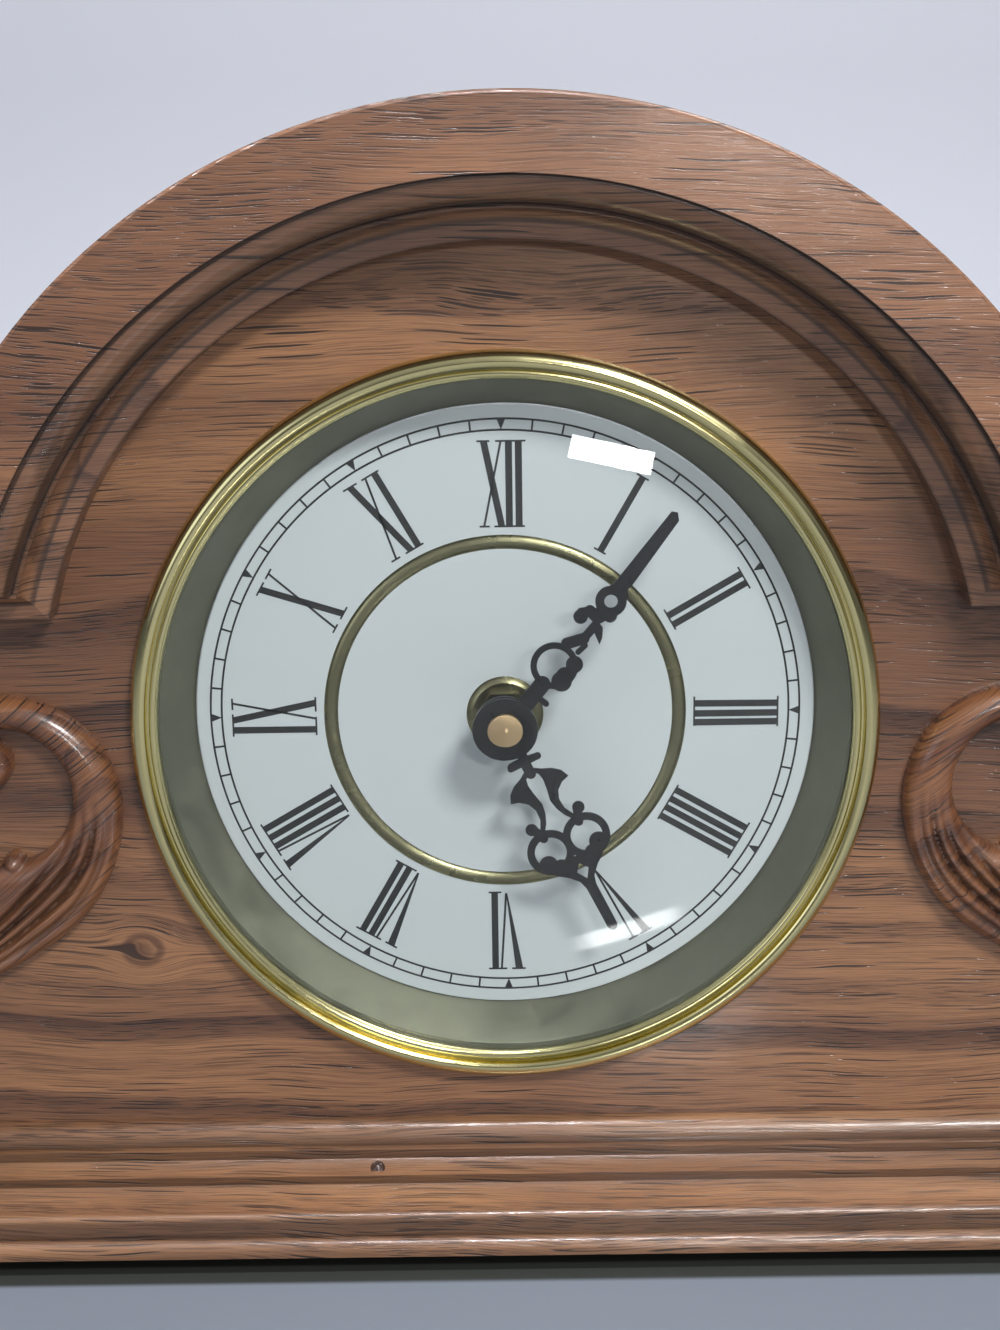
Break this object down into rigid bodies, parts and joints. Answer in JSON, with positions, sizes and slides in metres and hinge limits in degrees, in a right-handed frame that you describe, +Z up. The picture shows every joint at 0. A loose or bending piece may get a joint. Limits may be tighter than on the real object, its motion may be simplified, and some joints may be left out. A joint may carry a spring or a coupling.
{
  "type": "mantel clock",
  "caption": "Arch-topped oak mantel clock with a moulded hood, carved scrolls, a brass-rimmed round dial with pierced hands, and a door in its back.",
  "frame": {"origin": "on the table, under the middle of the clock's overall depth and width", "axes": "+Z up, the dial faces -Y, +X to the right of a viewer"},
  "size_m": [0.426, 0.103, 0.2443],
  "materials": {
    "oak": "glossy red-brown varnish over open grain",
    "bright_brass": "polished and lacquered",
    "satin_ring": "satin, faintly gold",
    "plated_steel": "plated",
    "dial_white": "satin cool white",
    "hand_black": "satin black",
    "clear_glass": "clear, domed",
    "black_rubber": "matt",
    "black_plastic": "moulded",
    "white_plastic": "moulded acetal",
    "brass_arbor": "turned",
    "copper_wire": "enamelled wire",
    "green_board": "resist over laminate",
    "cell_jacket": "plain jacket"
  },
  "bodies": {
    "case": {"front_panel": "oak", "arch_wrap": "oak", "shoulder_right": "oak", "shoulder_left": "oak", "arch_hood": "oak", "base_board": "oak", "base_moulding_front": "oak", "base_moulding_right": "oak", "base_moulding_left": "oak", "scroll_right": "oak", "scroll_left": "oak", "back_panel": "oak", "back_cleats": "oak", "glue_blocks": "oak", "bezel": "bright_brass", "dial_trim_ring": "bright_brass", "brass_washer": "bright_brass", "mounting_nut": "bright_brass", "hinge_leaves_fixed": "bright_brass", "hinge_pins": "bright_brass", "hinge_screws_fixed": "bright_brass", "back_screws": "bright_brass", "reflector_ring": "satin_ring", "dial_pan": "plated_steel", "pan_clamps": "plated_steel", "clamp_screws": "plated_steel", "stator": "plated_steel", "battery_contacts": "plated_steel", "dial_plate": "dial_white", "glass": "clear_glass", "foot_pads": "black_rubber", "rubber_washer": "black_rubber", "movement_front_case": "black_plastic", "movement_back_cover": "black_plastic", "door_catch": "black_plastic", "middle_plate": "white_plastic", "coil": "copper_wire", "circuit_board": "green_board", "battery": "cell_jacket"},
    "door": {"back_door": "oak", "door_knob": "bright_brass", "door_strike": "plated_steel", "hinge_leaves_door": "bright_brass", "hinge_screws_door": "bright_brass"},
    "minute_work": {"minute_arbor": "brass_arbor", "minute_hand": "hand_black", "cap_nut": "bright_brass"},
    "hour_work": {"hour_wheel": "white_plastic", "hour_hand": "hand_black"},
    "motion_work": {"minute_wheel": "white_plastic", "set_knob": "white_plastic"},
    "seconds_work": {"seconds_wheel": "white_plastic"},
    "fifth_work": {"fifth_wheel": "white_plastic"},
    "third_work": {"third_wheel": "white_plastic"},
    "centre_work": {"centre_wheel": "white_plastic"},
    "rotor_work": {"rotor": "plated_steel"}
  },
  "joints": [
    {"name": "door_hinge", "type": "hinge", "parent": "case", "child": "door", "pos_m": [-0.0525, 0.0431, 0.112], "axis": [0, 0, 1], "range_deg": [0, 110]},
    {"name": "minute_turn", "type": "hinge", "parent": "case", "child": "minute_work", "pos_m": [-0.0013, -0.0132, 0.115], "axis": [0, 1, 0], "continuous": true},
    {"name": "hour_turn", "type": "hinge", "parent": "case", "child": "hour_work", "pos_m": [-0.0013, -0.0132, 0.115], "axis": [0, 1, 0], "continuous": true},
    {"name": "motion_turn", "type": "hinge", "parent": "case", "child": "motion_work", "pos_m": [0.00895, -0.0132, 0.115], "axis": [0, 1, 0], "continuous": true},
    {"name": "rotor_turn", "type": "hinge", "parent": "case", "child": "rotor_work", "pos_m": [-0.0013, -0.0132, 0.13275], "axis": [0, 1, 0], "continuous": true},
    {"name": "fifth_turn", "type": "hinge", "parent": "case", "child": "fifth_work", "pos_m": [-0.0013, -0.0132, 0.124], "axis": [0, 1, 0], "continuous": true},
    {"name": "seconds_turn", "type": "hinge", "parent": "case", "child": "seconds_work", "pos_m": [-0.0013, -0.0132, 0.115], "axis": [0, 1, 0], "continuous": true},
    {"name": "third_turn", "type": "hinge", "parent": "case", "child": "third_work", "pos_m": [-0.01048, -0.0132, 0.115], "axis": [0, 1, 0], "continuous": true},
    {"name": "centre_turn", "type": "hinge", "parent": "case", "child": "centre_work", "pos_m": [-0.0013, -0.0132, 0.115], "axis": [0, 1, 0], "continuous": true}
  ],
  "couplings": [
    {"joint": "hour_turn", "follows": "minute_turn", "ratio": 0.083333},
    {"joint": "motion_turn", "follows": "minute_turn", "ratio": -0.33333},
    {"joint": "fifth_turn", "follows": "rotor_turn", "ratio": -0.16667},
    {"joint": "seconds_turn", "follows": "rotor_turn", "ratio": 0.033333},
    {"joint": "third_turn", "follows": "rotor_turn", "ratio": -0.0044444},
    {"joint": "centre_turn", "follows": "rotor_turn", "ratio": 0.00055556}
  ]
}
